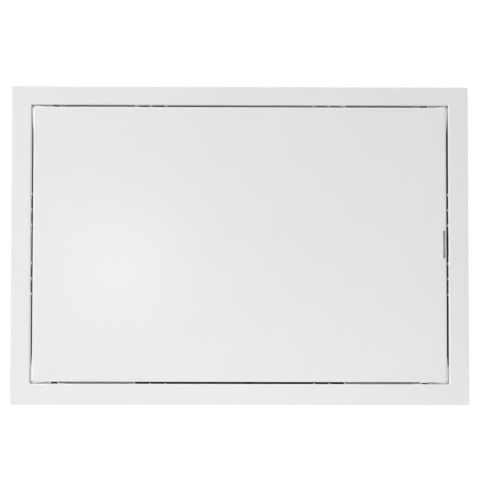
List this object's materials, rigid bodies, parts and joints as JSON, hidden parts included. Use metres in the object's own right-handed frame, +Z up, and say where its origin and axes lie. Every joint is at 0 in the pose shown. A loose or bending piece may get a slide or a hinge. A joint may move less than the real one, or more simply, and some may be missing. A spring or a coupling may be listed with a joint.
{
  "type": "ceiling access panel",
  "caption": "White rectangular access hatch: a flanged frame clipped into a board, with a flush door that swings out on side pivots and is held by a sprung latch behind a key slot.",
  "frame": {"origin": "centre of the opening, on the plane of the flange's back face", "axes": "+X right along the long side, +Y into the board, +Z up along the short side, as the picture shows it"},
  "size_m": [0.33, 0.031, 0.23],
  "materials": {
    "frame": "satin white moulded ABS",
    "door": "satin white moulded ABS",
    "cover": "satin white moulded ABS",
    "bolt": "natural acetal, moulded",
    "bush": "black acetal, moulded",
    "spring_steel": "bright spring steel",
    "plated_steel": "zinc-plated steel"
  },
  "bodies": {
    "frame_body": {"frame": "frame", "fixing_clip_top_left": "spring_steel", "fixing_clip_top_right": "spring_steel", "fixing_clip_right_upper": "spring_steel", "fixing_clip_right_lower": "spring_steel", "fixing_clip_bottom_right": "spring_steel", "fixing_clip_bottom_left": "spring_steel", "fixing_clip_left_lower": "spring_steel", "fixing_clip_left_upper": "spring_steel", "upper_pivot_bush": "bush", "lower_pivot_bush": "bush", "upper_spare_plug": "bush", "lower_spare_plug": "bush"},
    "door_body": {"door_panel": "door", "lower_hinge_pin": "plated_steel", "upper_pin_spring": "spring_steel", "upper_pin_cover": "cover", "pin_cover_screw_left": "plated_steel", "pin_cover_screw_right": "plated_steel", "latch_spring": "spring_steel", "latch_cover": "cover", "latch_cover_screw_upper": "plated_steel", "latch_cover_screw_lower": "plated_steel"},
    "upper_pin_body": {"upper_hinge_pin": "plated_steel"},
    "bolt_body": {"latch_bolt": "bolt"}
  },
  "joints": [
    {"name": "door_hinge", "type": "hinge", "parent": "frame_body", "child": "door_body", "pos_m": [-0.1335, 0.002, 0], "axis": [0, 0, -1], "range_deg": [0, 110]},
    {"name": "upper_pin_slide", "type": "slide", "parent": "door_body", "child": "upper_pin_body", "axis": [0, 0, -1], "range_m": [0, 0.006], "stiffness_N_per_m": 150, "springref_m": -0.01, "deforming": ["upper_pin_spring"]},
    {"name": "latch_bolt_slide", "type": "slide", "parent": "door_body", "child": "bolt_body", "axis": [-1, 0, 0], "range_m": [0, 0.0025], "stiffness_N_per_m": 300, "springref_m": -0.004, "deforming": ["latch_spring"]}
  ]
}
